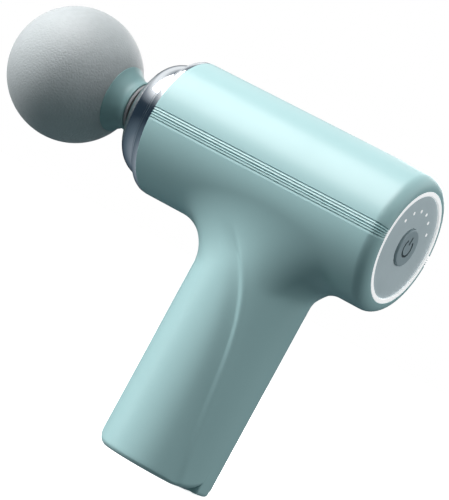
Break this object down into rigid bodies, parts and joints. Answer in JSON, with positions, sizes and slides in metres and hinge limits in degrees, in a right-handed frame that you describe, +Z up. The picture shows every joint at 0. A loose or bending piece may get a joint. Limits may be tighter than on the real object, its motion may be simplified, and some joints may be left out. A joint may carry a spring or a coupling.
{
  "type": "massage gun",
  "caption": "Pocket percussion massage gun with a round barrel, upright handle, ball head on a reciprocating plunger, chrome nose and a round rear panel with a power button.",
  "frame": {"origin": "centre of the handle's flat end, on which the gun can stand", "axes": "+X along the barrel towards the ball head, +Y to the gun's left side, +Z up the handle"},
  "size_m": [0.1527, 0.046, 0.12],
  "materials": {
    "mint_shell": "satin moulded, fine texture",
    "chrome_plating": "bright chrome-plated plastic",
    "white_plastic": "smooth white",
    "panel_grey": "satin",
    "button_grey": "satin",
    "black_plastic": "matte",
    "black_rubber": "matte",
    "grey_rubber": "matte",
    "ball_rubber": "soft, fine leather-like grain",
    "plunger_metal": "dark anodised, ground",
    "cast_aluminium": "cast and machined",
    "steel": "machined",
    "copper_wire": "enamelled",
    "bush_polymer": "smooth",
    "circuit_board": "solder mask",
    "cell_wrap": "shrink-wrapped cell"
  },
  "bodies": {
    "root": {"upper_housing": "mint_shell", "lower_housing": "mint_shell", "nose_flange": "chrome_plating", "nose_bezel": "chrome_plating", "dust_seal": "black_rubber", "rear_trim_ring": "white_plastic", "rear_panel": "panel_grey", "panel_carrier": "black_plastic", "level_light_windows": "white_plastic", "level_leds": "white_plastic", "control_board": "circuit_board", "board_parts": "black_plastic", "tact_switch": "steel", "motor_bracket": "cast_aluminium", "motor_base": "cast_aluminium", "motor_bearings": "steel", "motor_stator": "steel", "motor_windings": "copper_wire", "guide_housing": "black_plastic", "front_bush": "bush_polymer", "rear_bush": "bush_polymer", "damper_rings": "black_rubber", "battery_cell_front": "cell_wrap", "battery_cell_rear": "cell_wrap", "battery_holder": "black_plastic", "nickel_strips": "steel", "usb_board": "circuit_board", "usb_socket": "steel", "base_plate": "mint_shell", "nose_screws": "steel", "rear_screws": "steel", "motor_screws": "steel", "bracket_screws": "steel", "board_screws": "steel", "base_screws": "steel"},
    "rotor": {"rotor_bell": "steel", "rotor_magnets": "steel", "motor_shaft": "steel", "crank_wheel": "steel", "crank_pin": "steel", "crank_roller": "steel"},
    "plunger": {"plunger": "plunger_metal", "drive_yoke": "cast_aluminium"},
    "head": {"head_stem": "white_plastic", "stem_sleeve": "grey_rubber", "head_collar": "mint_shell", "ball_core": "white_plastic", "ball_skin": "ball_rubber"},
    "button": {"power_button": "button_grey", "switch_plunger": "black_plastic"}
  },
  "joints": [
    {"name": "motor_turn", "type": "hinge", "parent": "root", "child": "rotor", "pos_m": [-0.0075, 0, 0.08], "axis": [0, 0, 1], "range_deg": [-90, 90]},
    {"name": "plunger_stroke", "type": "slide", "parent": "root", "child": "plunger", "axis": [1, 0, 0], "range_m": [-0.0035, 0.0035]},
    {"name": "head_pull", "type": "slide", "parent": "plunger", "child": "head", "axis": [1, 0, 0], "range_m": [0, 0.02]},
    {"name": "button_press", "type": "slide", "parent": "root", "child": "button", "axis": [1, 0, 0], "range_m": [0, 0.0008], "stiffness_N_per_m": 2000}
  ],
  "couplings": [
    {"joint": "motor_turn", "follows": "plunger_stroke", "rad_per_m": 448.79}
  ]
}
